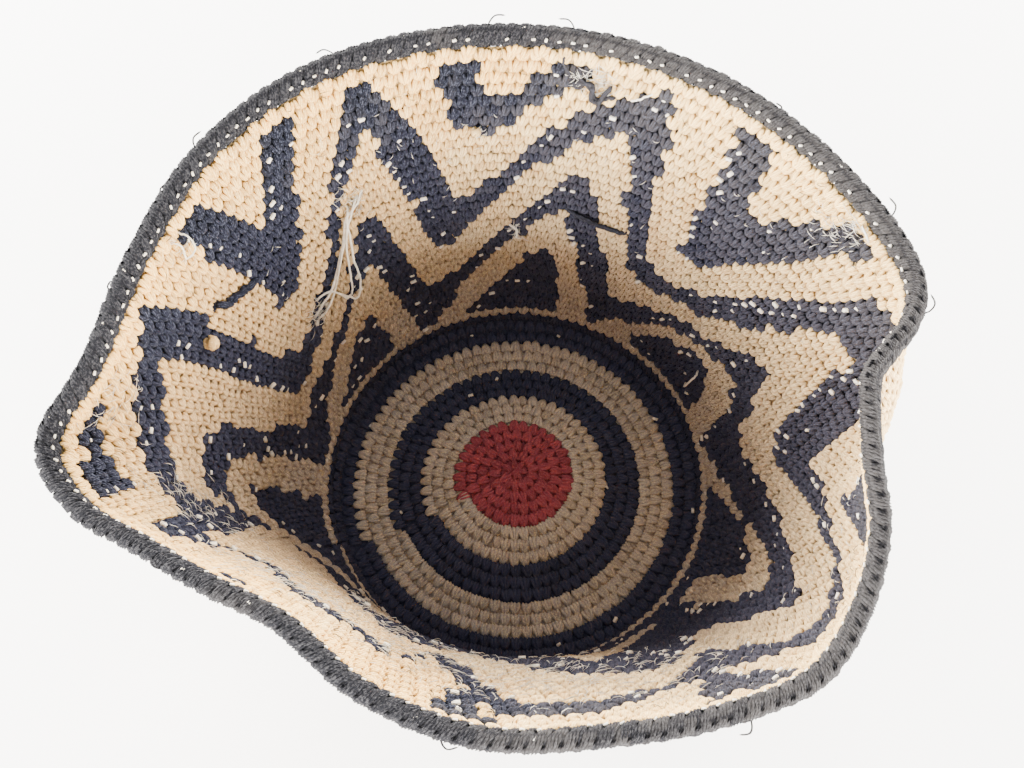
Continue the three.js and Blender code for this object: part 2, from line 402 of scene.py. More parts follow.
phase = 0.0
laid = []
for number in range(1, fabric_rounds + 1):
    laid.append(lay_round(number, phase))
    phase += lean
round_of = np.concatenate([np.full(len(part[0]), i + 1) for i, part in enumerate(laid)])
rounds, stitch_column, stitch_width, stitch_yarn = (np.concatenate(v) for v in zip(*laid))
print(len(rounds), "stitches on a face;", "cream, indigo and red:", np.bincount(stitch_yarn))

# %% Frames of the stitches on both faces
stitch_rise = 0.4
stitch_depth = 2.0


def stitch_frames(rounds, column, face):
    """Place and directions of stitches; face is inside or outside the hat."""
    point = on_grid(inner_face, rounds, column)
    across = unit(on_grid(across_grid, rounds, column))
    inwards = unit(on_grid(inwards_grid, rounds, column))
    up = on_grid(up_grid, rounds, column)
    height = np.linalg.norm(up, axis=1)
    if face == "inside":
        place = point + inwards * (stitch_rise - stitch_depth)
        return place, across, np.cross(inwards, across), height
    place = point - inwards * (wall_thickness - stitch_depth + stitch_rise / 2)
    return place, -across, np.cross(inwards, across), height


# %% [markdown]
# ## One stitch
# Seen from inside the hat, a single crochet stitch in thick soft yarn is a small shell: narrow at
# its foot, where it comes out of the stitch below, and fanning out to a round top. That is why a
# band of colour has a scalloped upper edge and a lower edge of sharp teeth. Three short fat
# strands that spread from one foot give that shape. On the flat crown the strands lie side by side
# like bricks. The stitch is repeated thousands of times, so the strands are made here directly,
# ring by ring with four or five sides; bevelled curves would need far more faces. Each point keeps
# its relief, how high it stands, so that the finish can paint shade into the low creases.

# %% Objects in the scene, values on their points, and a strand
nominal_width = 4.3
nominal_height = 3.7
full_relief = 1.6
strand_up = (0.15, 0.1, 1.0)


def shown(name, data):
    """An object in the scene that holds a mesh, a light or a camera."""
    made = bpy.data.objects.new(name, data)
    bpy.context.scene.collection.objects.link(made)
    return made


def keep(mesh, name, values, kind="FLOAT"):
    """Keep a named value, or a direction, on every point of a mesh."""
    layer = mesh.attributes.get(name) or mesh.attributes.new(name, kind, "POINT")
    count = len(mesh.vertices)
    field, shape = ("vector", (count, 3)) if kind == "FLOAT_VECTOR" else ("value", count)
    layer.data.foreach_set(field, np.array(np.broadcast_to(values, shape)).ravel())


def strand(path, radius, sides, long=False):
    """Points, faces and UVs of a plump strand along a path, closed at both ends."""
    path = np.array(path, float)
    forward = unit(np.gradient(path, axis=0))
    side = unit(np.cross(forward, strand_up))
    if long:
        for i in range(1, len(path)):
            side[i] = unit(side[i - 1] - forward[i] * (side[i - 1] @ forward[i]))
    over = np.cross(side, forward)
    points = [tuple(path[0])]
    for i in range(1, len(path) - 1):
        for k in range(sides):
            angle = 2 * math.pi * k / sides
            ray = side[i] * math.cos(angle) + over[i] * math.sin(angle)
            points.append(tuple(path[i] + ray * radius))
    points.append(tuple(path[-1]))
    rings = len(path) - 2
    v = np.arange(rings + 2) / (rings + 1)
    faces = []
    uvs = []
    for k in range(sides):
        n = (k + 1) % sides
        left = k / sides
        right = (k + 1) / sides
        tip = (left + right) / 2
        faces.append((0, 1 + n, 1 + k))
        uvs += [(tip, 0), (right, v[1]), (left, v[1])]
        for ring in range(1, rings):
            a = 1 + (ring - 1) * sides
            faces.append((a + k, a + n, a + sides + n, a + sides + k))
            uvs += [(left, v[ring]), (right, v[ring]), (right, v[ring + 1]), (left, v[ring + 1])]
        a = 1 + (rings - 1) * sides
        faces.append((a + k, a + n, len(points) - 1))
        uvs += [(left, v[rings]), (right, v[rings]), (tip, 1)]
    return points, faces, uvs


def stitch_object(name, *parts):
    """One mesh of several strands."""
    points = []
    faces = []
    uvs = []
    for more_points, more_faces, more_uvs in parts:
        start = len(points)
        points += more_points
        faces += [tuple(start + i for i in face) for face in more_faces]
        uvs += more_uvs
    mesh = bpy.data.meshes.new(name)
    mesh.from_pydata(points, [], faces)
    mesh.uv_layers.new(name="UVMap").data.foreach_set("uv", np.array(uvs, float).ravel())
    heights = np.array([point[2] for point in points])
    # relief, how high each point stands, later sets painted shade: low points are coloured darker,
    # as shade in the creases
    keep(mesh, "relief", np.clip(heights / full_relief, 0, 1))
    mesh.shade_smooth()
    print(name, len(mesh.vertices), "points,", sum(len(f) - 2 for f in faces), "triangles")
    return shown(name, mesh)


# %% The stitches, each a few strands
left_strand = strand(((0.0, -2.9, 0.2), (-0.65, -1.7, 0.95), (-1.15, -0.3, 1.2),
                      (-1.35, 1.0, 0.95), (-1.2, 2.1, -0.2)), 0.95, 4)
middle_strand = strand(((0.1, -2.7, 0.3), (0.05, -1.3, 1.1), (0.35, 0.1, 1.4), (0.6, 1.4, 1.15),
                        (0.7, 2.5, -0.2)), 1.0, 5)
right_strand = strand(((0.2, -2.9, 0.2), (0.7, -1.6, 0.95), (1.55, -0.3, 1.15),
                       (2.05, 0.9, 0.9), (2.3, 2.0, -0.2)), 0.95, 4)
stitch_inside = stitch_object("stitch_inside", left_strand, middle_strand, right_strand)
crown_strands = [
    strand(((x, -2.3, -0.2), (x, -1.2, rise - 0.3), (x * 0.9, 0.0, rise),
            (x * 0.5, 1.3, rise - 0.1), (x * 0.1 + 0.1, 3.2, 0.45)), 0.95, 4)
    for x, rise in ((-1.35, 1.15), (0.1, 1.4), (1.5, 1.15))
]
stitch_crown = stitch_object("stitch_crown", *crown_strands)
outer_left = strand(((0.2, -2.4, 0.0), (-0.35, -1.0, 1.0), (-0.95, 0.4, 1.15),
                     (-1.5, 1.6, 0.6), (-1.6, 2.3, -0.1)), 0.85, 4)
outer_right = strand(((0.0, -2.4, 0.0), (0.6, -1.0, 1.0), (1.15, 0.4, 1.15), (1.4, 1.6, 0.6),
                      (1.3, 2.3, -0.1)), 0.85, 4)
stitch_outside = stitch_object("stitch_outside", outer_left, outer_right)
edging_plies = [
    strand(((x - 1.3, -2.6, -0.2), (x - 0.6, -1.2, 0.8), (x + 0.1, 0.1, height),
            (x + 0.8, 1.3, 0.75), (x + 1.4, 2.5, -0.3)), 0.62, 4)
    for x, height in ((-1.3, 0.75), (-0.45, 1.25), (0.4, 1.35), (1.2, 0.85))
]
stitch_edging = stitch_object("stitch_edging", *edging_plies)
fleck = stitch_object("fleck", strand(((-1.0, -0.5, 0.5), (-0.8, -0.4, 0.75),
                                       (0.8, 0.35, 0.75), (1.0, 0.4, 0.5)), 0.72, 4))

# %% [markdown]
# ## Finishes
# Cotton yarn is matt and a little fuzzy. Four things give it away up close: the fine lines of its
# plies, fuzz that softens every edge, stitches that differ a little in tone, and fading that drifts
# over the whole hat. Shade is painted into the colour too: in creases, between plies and low in the
# hat, with a painted highlight on the ply crests. Plies, fuzz, and fading with the painted shade
# are small node groups with named inputs, which all the yarns share with their own values. The tone
# is kept on each stitch.

# %% Helpers for nodes
def add(tree, kind, inputs=None, **settings):
    """A node with its settings; each input is a value, or the socket that feeds it."""
    node = tree.nodes.new(kind)
    for label, value in settings.items():
        setattr(node, label, value)
    for label, value in (inputs or {}).items():
        if isinstance(value, bpy.types.NodeSocket):
            tree.links.new(value, node.inputs[label])
        else:
            node.inputs[label].default_value = value
    return node


def maths(tree, operation, *values):
    return add(tree, "ShaderNodeMath", dict(enumerate(values)), operation=operation).outputs[0]


def noise(tree, scale, detail=2.0):
    """Noise over the object's own coordinates."""
    place = add(tree, "ShaderNodeTexCoord").outputs["Object"]
    inputs = {"Vector": place, "Scale": scale, "Detail": detail}
    return add(tree, "ShaderNodeTexNoise", inputs).outputs[0]


def mix_colors(tree, share, first, second):
    """A Mix node for colours; share is a socket, the colours are sockets or values."""
    first, second = ((*c, 1) if isinstance(c, tuple) else c for c in (first, second))
    inputs = {"Factor": share, 6: first, 7: second}
    return add(tree, "ShaderNodeMix", inputs, data_type="RGBA").outputs[2]


def ramp(tree, value, low, high, kind="SMOOTHSTEP"):
    """A step from 0 at low to 1 at high."""
    inputs = {"Value": value, "From Min": low, "From Max": high}
    return add(tree, "ShaderNodeMapRange", inputs, interpolation_type=kind).outputs["Result"]


def shader_group(name, inputs, outputs):
    """An empty shader node group of number sockets, what it is given and what it returns."""
    group = bpy.data.node_groups.new(name, "ShaderNodeTree")
    number = "NodeSocketFloat"
    for label, value in inputs.items():
        socket = group.interface.new_socket(label, in_out="INPUT", socket_type=number)
        socket.default_value = value
    for label in outputs:
        group.interface.new_socket(label, in_out="OUTPUT", socket_type=number)
    return group, add(group, "NodeGroupInput").outputs, add(group, "NodeGroupOutput").inputs


# %% Plies: fine lines that wind along each strand
plies, given, returned = shader_group(
    "yarn plies", {"Plies": 3.0, "Twist": 0.9, "Unevenness": 0.5}, ["Height"]
)
strand_map = add(plies, "ShaderNodeUVMap", uv_map="UVMap").outputs["UV"]
split = add(plies, "ShaderNodeSeparateXYZ", {0: strand_map}).outputs
around = maths(plies, "MULTIPLY", split["X"], given["Plies"])
along = maths(plies, "MULTIPLY", split["Y"], given["Twist"])
drift = maths(plies, "MULTIPLY", noise(plies, 900.0), given["Unevenness"])
winding = maths(plies, "ADD", maths(plies, "ADD", around, along), drift)
wave = maths(plies, "SINE", maths(plies, "MULTIPLY", winding, 2 * math.pi))
plies.links.new(maths(plies, "ABSOLUTE", wave), returned["Height"])

# %% Fading and painted shade: slow patches, fine speckle, and how far up the hat a point lies
painted_shade, given, returned = shader_group(
    "soil and fading",
    {"Patch Scale": 22.0, "Speckle Scale": 1300.0, "Sunny Side": 2.6, "Low Height": 0.03,
     "Brim Height": 0.125},
    ["Patches", "Speckle", "Brim"],
)
place = add(painted_shade, "ShaderNodeTexCoord").outputs["Object"]
spot = add(painted_shade, "ShaderNodeSeparateXYZ", {0: place}).outputs
# one side, towards +X, is mixed more towards the faded colour
side_drift = maths(painted_shade, "MULTIPLY", spot["X"], given["Sunny Side"])
clouds = noise(painted_shade, given["Patch Scale"], detail=5.0)
painted_shade.links.new(maths(painted_shade, "ADD", clouds, side_drift), returned["Patches"])
painted_shade.links.new(noise(painted_shade, given["Speckle Scale"]), returned["Speckle"])
# how far up the hat a point lies; below the brim, the finish paints shade into the colour
brim_share = ramp(painted_shade, spot["Z"], given["Low Height"], given["Brim Height"], "LINEAR")
painted_shade.links.new(brim_share, returned["Brim"])

# %% Fuzz: very fine fibres that roughen the surface
fuzz, given, returned = shader_group("cotton fuzz", {"Fibre Scale": 2600.0}, ["Height"])
fuzz.links.new(noise(fuzz, given["Fibre Scale"]), returned["Height"])


# %% Cotton in any colour
def cotton(name, crease_shade_and_dark_tone, plain, faded, low, fibre, fibre_and_highlight_share):
    """A yarn's finish: painted shade in its creases and between its plies, its face, the faded
    brim, painted shade low in the crown, its fibres with a painted highlight on the ply crests.
    """
    material = bpy.data.materials.new(name)
    material.use_nodes = True
    tree = material.node_tree
    shader = tree.nodes["Principled BSDF"].inputs
    for label, value in (("Roughness", 0.92), ("Specular IOR Level", 0.1),
                         ("Sheen Weight", 0.02), ("Sheen Roughness", 0.6)):
        shader[label].default_value = value
    ply_inputs = {"Plies": 5.0, "Twist": 1.3}
    ply = add(tree, "ShaderNodeGroup", ply_inputs, node_tree=plies).outputs["Height"]
    shade_and_fading = add(tree, "ShaderNodeGroup", node_tree=painted_shade).outputs
    hair = add(tree, "ShaderNodeGroup", node_tree=fuzz).outputs["Height"]
    tone = add(tree, "ShaderNodeAttribute", attribute_name="tone").outputs["Fac"]
    relief = add(tree, "ShaderNodeAttribute", attribute_name="relief").outputs["Fac"]
    uneven = maths(tree, "MULTIPLY", maths(tree, "SUBTRACT", tone, 0.33), -0.25)
    worn = ramp(tree, maths(tree, "ADD", shade_and_fading["Patches"], uneven), 0.38, 0.66)
    brim = mix_colors(tree, worn, plain, faded)
    # painted shade: low in the hat the colour goes to the yarn's low colour, as shade deep in the
    # crown
    face = mix_colors(tree, shade_and_fading["Brim"], low, brim)
    varied = mix_colors(tree, maths(tree, "MULTIPLY", tone, 0.3), face, crease_shade_and_dark_tone)
    # painted shade in the grooves between the plies: they take the crease colour
    lines = maths(tree, "SUBTRACT", 1.0, ply)
    shade_between_plies = maths(tree, "MULTIPLY", maths(tree, "POWER", lines, 2.0), 0.45)
    ply_shaded = mix_colors(tree, shade_between_plies, varied, crease_shade_and_dark_tone)
    # pale fibres in a speckle on the ply crests, partly a painted highlight on the crests
    speckled = ramp(tree, shade_and_fading["Speckle"], 0.44, 0.62)
    fibres_and_crest_highlight = maths(tree, "MULTIPLY", speckled, maths(tree, "POWER", ply, 2.5))
    fine = mix_colors(tree, maths(tree, "MULTIPLY", fibres_and_crest_highlight, fibre_and_highlight_share), ply_shaded, fibre)
    # painted shade: points that stand low in their stitch take the crease colour
    crease_shaded = mix_colors(tree, ramp(tree, relief, 0.12, 0.7), crease_shade_and_dark_tone, fine)
    tree.links.new(crease_shaded, shader["Base Color"])
    height = maths(tree, "ADD", ply, maths(tree, "MULTIPLY", hair, 0.8))
    bump_inputs = {"Strength": 0.7, "Distance": 0.25 * MM, "Height": height}
    tree.links.new(add(tree, "ShaderNodeBump", bump_inputs).outputs["Normal"], shader["Normal"])
    return material


# In each yarn, the crease colour is painted shade in creases and between plies, and also the dark
# end of the random tone; the low colour is painted shade deep in the hat, lighter and bluer for the
# indigo yarns, as their shade looks; the fibre colour is pale fibres with a painted highlight on
# the ply crests.
cream_cotton = cotton("cream_cotton", crease_shade_and_dark_tone=(0.20, 0.13, 0.08), plain=(0.89, 0.51, 0.13),
                      faded=(0.93, 0.62, 0.24), low=(0.48, 0.39, 0.335),
                      fibre=(0.97, 0.77, 0.42), fibre_and_highlight_share=0.6)
indigo_cotton = cotton("indigo_cotton", crease_shade_and_dark_tone=(0.006, 0.006, 0.011),
                       plain=(0.006, 0.007, 0.013), faded=(0.042, 0.038, 0.040),
                       low=(0.050, 0.048, 0.086), fibre=(0.080, 0.086, 0.120), fibre_and_highlight_share=0.75)
red_cotton = cotton("red_cotton", crease_shade_and_dark_tone=(0.09, 0.012, 0.016), plain=(0.37, 0.06, 0.08),
                    faded=(0.45, 0.08, 0.10), low=(0.36, 0.07, 0.09),
                    fibre=(0.55, 0.16, 0.16), fibre_and_highlight_share=0.6)
edging_cotton = cotton("edging_cotton", crease_shade_and_dark_tone=(0.003, 0.003, 0.005),
                       plain=(0.011, 0.011, 0.014), faded=(0.045, 0.041, 0.040),
                       low=(0.010, 0.011, 0.016), fibre=(0.12, 0.115, 0.12), fibre_and_highlight_share=0.6)
outer_cream = cotton("outer_cream_cotton", crease_shade_and_dark_tone=(0.16, 0.10, 0.06), plain=(0.72, 0.43, 0.14),
                     faded=(0.84, 0.58, 0.27), low=(0.50, 0.34, 0.18),
                     fibre=(0.88, 0.68, 0.38), fibre_and_highlight_share=0.6)
outer_indigo = cotton("outer_indigo_cotton", crease_shade_and_dark_tone=(0.003, 0.003, 0.006),
                      plain=(0.006, 0.007, 0.014), faded=(0.030, 0.028, 0.031),
                      low=(0.008, 0.009, 0.020), fibre=(0.070, 0.075, 0.105), fibre_and_highlight_share=0.6)
# a near-white cream for pulled fibres, loose yarns and flecks: partly the paler colour of worn
# cotton, partly painted light, as thin fibres and small flecks look bright
worn_cotton = cotton("worn_cotton", crease_shade_and_dark_tone=(0.75, 0.60, 0.42), plain=(0.95, 0.84, 0.66),
                     faded=(0.97, 0.92, 0.82), low=(0.80, 0.70, 0.60),
                     fibre=(0.98, 0.95, 0.88), fibre_and_highlight_share=0.5)
inner_yarns = (cream_cotton, indigo_cotton, red_cotton)
outer_yarns = (outer_cream, outer_indigo, red_cotton)
worn_and_painted_light_yarns = (worn_cotton, indigo_cotton, red_cotton)
edging_yarns = (cream_cotton, edging_cotton, red_cotton)
print("finishes:", [m.name for m in bpy.data.materials if m.name.endswith("cotton")])

# %% [markdown]
# ## A tree that puts stitches on the shell
# Geometry Nodes take a mesh of bare points. Each point knows which way is across and up, how big
# its stitch is, which yarn it is worked in and its tone. The tree turns each stitch to its point,
# nudges it a little at random so that the rows look worked by hand, and gives it its yarn.

# %% Build the tree
usual_tilt = 0.12
tree_inputs = (
    ("Points", "Geometry", None), ("Stitch", "Object", None), ("Tilt", "Float", usual_tilt),
    ("Size Change", "Float", 0.08), ("Seed", "Int", 0), ("Cream", "Material", None),
    ("Indigo", "Material", None), ("Red", "Material", None),
)


def stitch_tree():
    tree = bpy.data.node_groups.new("stitches on rounds", "GeometryNodeTree")
    for label, kind, value in tree_inputs:
        socket = tree.interface.new_socket(label, in_out="INPUT", socket_type="NodeSocket" + kind)
        if value is not None:
            socket.default_value = value
    tree.interface.new_socket("Stitches", in_out="OUTPUT", socket_type="NodeSocketGeometry")
    given = add(tree, "NodeGroupInput").outputs

    def attribute(name, kind="FLOAT_VECTOR"):
        node = add(tree, "GeometryNodeInputNamedAttribute", {"Name": name}, data_type=kind)
        return node.outputs["Attribute"]

    def scaled(vector, by):
        inputs = {0: vector, "Scale": by}
        return add(tree, "ShaderNodeVectorMath", inputs, operation="SCALE").outputs[0]

    def random(kind, inputs):
        inputs["Seed"] = given["Seed"]
        return add(tree, "FunctionNodeRandomValue", inputs, data_type=kind).outputs

    facing = add(tree, "FunctionNodeAxesToRotation", {0: attribute("across"), 1: attribute("up")},
                 primary_axis="X", secondary_axis="Y").outputs[0]
    most = scaled((0.6, 0.4, 1), given["Tilt"])
    tilt = random("FLOAT_VECTOR", {0: scaled(most, -1), 1: most})[0]
    nudge = add(tree, "FunctionNodeEulerToRotation", {0: tilt}).outputs[0]
    turned = add(tree, "FunctionNodeRotateRotation", {0: facing, 1: nudge},
                 rotation_space="LOCAL").outputs[0]
    change = random("FLOAT", {2: maths(tree, "SUBTRACT", 1, given["Size Change"]),
                              3: maths(tree, "ADD", 1, given["Size Change"])})[1]
    stitch = add(tree, "GeometryNodeObjectInfo", {"Object": given["Stitch"]}).outputs["Geometry"]
    put = add(tree, "GeometryNodeInstanceOnPoints",
              {"Points": given["Points"], "Instance": stitch, "Rotation": turned,
               "Scale": scaled(attribute("size"), change)}).outputs["Instances"]
    made = add(tree, "GeometryNodeRealizeInstances", {"Geometry": put}).outputs["Geometry"]
    for yarn, label in ((CREAM, "Cream"), (INDIGO, "Indigo"), (RED, "Red")):
        chosen = add(tree, "FunctionNodeCompare", {2: attribute("yarn", "INT"), 3: yarn},
                     data_type="INT", operation="EQUAL").outputs[0]
        made = add(tree, "GeometryNodeSetMaterial",
                   {"Geometry": made, "Selection": chosen,
                    "Material": given[label]}).outputs["Geometry"]
    add(tree, "NodeGroupOutput", {"Stitches": made})
    return tree


stitches_on_rounds = stitch_tree()
inputs_by_name = {
    item.name: item.identifier
    for item in stitches_on_rounds.interface.items_tree
    if item.in_out == "INPUT"
}
print("tree inputs:", list(inputs_by_name))


# %% Turn points into stitches, and the result into a plain mesh
def finished(piece, replaced=None):
    """A piece rides on the hat, and may take the place of a node of the frame, which is then
    hidden.
    """
    if replaced:
        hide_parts(replaced)
    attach(piece, "root")
    return piece


def worked(name, stitch, places, size, yarn, tone, seed, yarns=inner_yarns, tilt=usual_tilt):
    """A piece of many stitches; places are their points and which way is across and up."""
    points, across, up = places
    mesh = bpy.data.meshes.new(name)
    mesh.from_pydata(((points + hat_place) * MM).tolist(), [], [])
    for label, values in (("across", across), ("up", up), ("size", size * MM)):
        keep(mesh, label, values, "FLOAT_VECTOR")
    keep(mesh, "yarn", yarn, "INT")
    keep(mesh, "tone", tone)
    piece = shown(name, mesh)
    modifier = piece.modifiers.new("stitches", "NODES")
    modifier.node_group = stitches_on_rounds
    values = {"Stitch": stitch, "Tilt": tilt, "Seed": seed}
    values.update(zip(("Cream", "Indigo", "Red"), yarns))
    for label, value in values.items():
        modifier[inputs_by_name[label]] = value
    graph = bpy.context.evaluated_depsgraph_get()
    made = bpy.data.meshes.new_from_object(
        piece.evaluated_get(graph), preserve_all_data_layers=True, depsgraph=graph
    )
    piece.modifiers.clear()
    piece.data = made
    triangles = sum(len(p.vertices) - 2 for p in made.polygons)
    print(name, len(points), "stitches,", triangles, "triangles")
    return finished(piece)


# %% [markdown]
# ## The stitches of both faces
# The inner face is the one that shows, so its stitches have three strands. The outer face is seen
# past the brim and from below; the right side of single crochet shows two legs in a V there. Each
# face is cut into a few pieces by round, to keep every mesh small.

# %% Work the inner and the outer face
inner_zones = (("crown", 1, crown_rounds, stitch_crown), ("lower_wall", 18, 29, stitch_inside),
               ("upper_wall", 30, 41, stitch_inside), ("brim", 42, fabric_rounds, stitch_inside))
outer_zones = (("crown", 1, crown_rounds, stitch_outside), ("wall", 18, 35, stitch_outside),
               ("brim", 36, fabric_rounds, stitch_outside))
sideways_slip = 0.2
upward_slip = 0.15

for face, yarns, zones, first_seed in (("inside", inner_yarns, inner_zones, 1),
                                       ("outside", outer_yarns, outer_zones, 21)):
    for seed, (zone, first, last, stitch) in enumerate(zones, first_seed):
        here = (round_of >= first) & (round_of <= last)
        point, across, up, height = stitch_frames(rounds[here], stitch_column[here], face)
        count = len(point)
        width = stitch_width[here] / nominal_width
        size = np.stack([width, height / nominal_height, np.ones(count)], axis=1)
        tone = stitch_rng.random(count) ** 2
        point = point + across * stitch_rng.normal(0, sideways_slip, (count, 1))
        point = point + up * stitch_rng.normal(0, upward_slip, (count, 1))
        worked(f"{zone}_stitches_{face}", stitch, (point, across, up), size, stitch_yarn[here],
               tone, seed, yarns)

# %% [markdown]
# ## The ground inside the fabric
# Between the two faces of stitches lies the yarn that is carried along inside them. It closes the
# gaps, so a closed thin shell in the same yarns stands for it, darkened with painted shade where it
# shows in the gaps. It takes the frame's place as the body of the hat.


# %% A closed skin over rings of points
def ground_piece(name, rings, closed_tube, yarns, relief, node):
    """A skin that takes the place of a node; a ring of one point closes an end."""
    starts = np.cumsum([0] + [len(ring) for ring in rings])
    faces = []
    rows = len(rings) if closed_tube else len(rings) - 1
    for low in range(rows):
        high = (low + 1) % len(rings)
        count = max(len(rings[low]), len(rings[high]))
        for k in range(count):
            n = (k + 1) % count
            corner = (starts[low] + k % len(rings[low]), starts[high] + k % len(rings[high]),
                      starts[high] + n % len(rings[high]), starts[low] + n % len(rings[low]))
            faces.append(list(dict.fromkeys(int(index) for index in corner)))
    mesh = bpy.data.meshes.new(name)
    mesh.from_pydata(((np.concatenate(rings) + hat_place) * MM).tolist(), [], faces)
    mesh.shade_smooth()
    keep(mesh, "relief", relief)
    for yarn in yarns:
        mesh.materials.append(yarn)
    print(name, len(faces), "faces")
    return finished(shown(name, mesh), node)


# %% The ground of the fabric, in the yarn of each place
ground_columns = 180
upper_depth = 1.5
lower_depth = 2.2
every_round = list(range(1, fabric_rounds + 1))
ring_columns = np.arange(ground_columns) * columns / ground_columns
ground_rings = []
for depth, numbers in ((upper_depth, every_round), (lower_depth, every_round[::-1])):
    for number in numbers:
        at = np.full(ground_columns, float(number))
        inner = on_grid(inner_face, at, ring_columns)
        inwards = unit(on_grid(inwards_grid, at, ring_columns))
        ground_rings.append(inner - inwards * depth)
crown_middle = np.array([[0, 0, crown_rise]])
ground_rings = [crown_middle - [0, 0, upper_depth], *ground_rings,
                crown_middle - [0, 0, lower_depth]]
ring_rounds = [0, *every_round, *every_round[::-1], 0]
# relief 0.42 paints shade on the ground: it takes part of the crease colour, as it lies in the gaps
# between stitches
fabric_ground = ground_piece("fabric_ground", ground_rings, False, inner_yarns, 0.42,
                             "crocheted_body")
place_of = np.empty(len(fabric_ground.data.polygons) * 3)
fabric_ground.data.polygons.foreach_get("center", place_of)
place_of = place_of.reshape(-1, 3) / MM - hat_place
face_turn = np.degrees(np.arctan2(place_of[:, 1], place_of[:, 0]))
face_yarn = []
for low in range(len(ground_rings) - 1):
    number = (ring_rounds[low] + ring_rounds[low + 1]) / 2
    if number <= crown_rounds + 0.5:
        face_yarn.append(np.full(ground_columns, yarn_on_crown(number + 0.5)))
    else:
        height = np.full(ground_columns, wall_share(number - crown_rounds) * chart_height)
        turn = face_turn[low * ground_columns:(low + 1) * ground_columns]
        face_yarn.append(yarn_on_wall(turn, height))
fabric_ground.data.polygons.foreach_set("material_index", np.concatenate(face_yarn))

# %% [markdown]
# ## The edging
# Two rounds of dark yarn are worked last, over the end of the fabric. They stand thicker than the
# wall and make a rope-like roll. Its stitches show as four slanted plies each, and they go round
# an oval: two rows up the inner face, one over the top, and two down the outer face.

# %% Where the edging runs
edging_stitches = 172
edge_top, edge_middle, edge_low = (
    up_the_wall(wall_length - edging_height * share) for share in (0, 0.5, 1)
)
edge_steps = np.linalg.norm(np.roll(edge_middle, -1, axis=0) - edge_middle, axis=1)
edge_run = np.concatenate([[0], np.cumsum(edge_steps)])
edging_width = edge_run[-1] / edging_stitches / nominal_width


def ring_shares(phase):
    """Even shares of the rim's own length, one for each stitch, as columns from 0 to 1."""
    wanted = ((np.arange(edging_stitches) + phase) / edging_stitches) * edge_run[-1]
    return np.interp(wanted, edge_run, np.arange(columns + 1)) / columns


def edging_frames(shares, angle):
    """Places on the edging's oval; angle 0 is its top, and a quarter turn back is its inside."""
    column = shares * columns
    low = np.floor(column).astype(int)
    blend = (column - low)[:, None]
    low = low % columns
    high = (low + 1) % columns

    def between(grid):
        return grid[low] * (1 - blend) + grid[high] * blend

    along = unit(between(edge_top) - between(edge_low))
    before = between(np.roll(edge_middle, 1, axis=0))
    right = unit(before - between(np.roll(edge_middle, -1, axis=0)))
    outward = unit(np.cross(along, right))
    centre = between(edge_middle) + outward * wall_thickness / 2
    half_height = edging_height / 2
    half_thickness = edging_thickness / 2
    sine = np.sin(angle)
    cosine = np.cos(angle)
    point = centre + along * half_height * cosine + outward * half_thickness * sine
    normal = unit(along * cosine / half_height + outward * sine / half_thickness)
    return point, normal, right, unit(np.cross(normal, right))


def edging_places(rows):
    """Places, sizes and count of what stands on the edging, row by row."""
    parts = []
    for shares, degrees, sink, size in rows:
        point, normal, right, over = edging_frames(shares, math.radians(degrees))
        parts.append((point - normal * sink, right, over, np.tile(size, (len(shares), 1))))
    *places, size = (np.concatenate(values) for values in zip(*parts))
    return places, size, len(size)


# %% Work the edging
stitch_sink = 1.5
ground_sink = 0.6
ground_sides = 8
places, size, count = edging_places([
    (ring_shares(0.5 * row), degrees, stitch_sink, [edging_width, 1.22, 1.05])
    for row, degrees in enumerate((-128, -62, 0, 62, 128))
])
worked("edging_stitches", stitch_edging, places, size, INDIGO, stitch_rng.random(count) ** 2, 41,
       edging_yarns)

ground_shares = np.arange(ground_columns) / ground_columns
edging_rings = []
for side in range(ground_sides):
    angle = -2 * math.pi * side / ground_sides
    point, normal, right, over = edging_frames(ground_shares, angle)
    edging_rings.append(point - normal * ground_sink)
# relief 0.4 paints shade on the edging's ground, as it lies in the gaps between its stitches
ground_piece("edging_ground", edging_rings, True, [edging_cotton], 0.4, "rim_edging")

# %% [markdown]
# ## Flecks of the carried yarn
# In this kind of work the cream yarn runs hidden inside the indigo stitches, and peeps out between
# them as light flecks, most of all just after a change of colour. Each fleck is a tiny strand on
# the corner between two stitches.

# %% Choose where the carried yarn shows
lone_fleck = 0.02
after_cream = ((3, 0.08), (2, 0.22), (1, 0.42))
fleck_lift = 1.25
fleck_drop = 0.45
fleck_chance = np.zeros(len(rounds))
for number in range(1, fabric_rounds + 1):
    here = np.flatnonzero(round_of == number)
    is_cream = stitch_yarn[here] == CREAM
    chance = np.full(len(here), lone_fleck)
    for distance, share in after_cream:
        chance[np.roll(is_cream, -distance)] = share
    fleck_chance[here] = chance
shows = (stitch_yarn == INDIGO) & (stitch_rng.random(len(rounds)) < fleck_chance)
point, across, up, height = stitch_frames(rounds[shows] - fleck_drop, stitch_column[shows],
                                          "inside")
point = point + np.cross(across, up) * fleck_lift
size = stitch_rng.uniform(0.6, 1.25, (len(point), 1))
worked("carried_yarn_flecks", fleck, (point, across, up), size, CREAM,
       stitch_rng.random(len(point)) * 0.4, 61, worn_and_painted_light_yarns, tilt=0.7)

# %% [markdown]
# ## Where the edging grips the fabric
# The edging is worked into the last cream round, so the round tops of its stitches stand up over
# the foot of the edging like a row of scallops, and specks of cream show between the two dark
# rounds. The scallops are the inner stitch again, set a little forward; the specks are flecks.

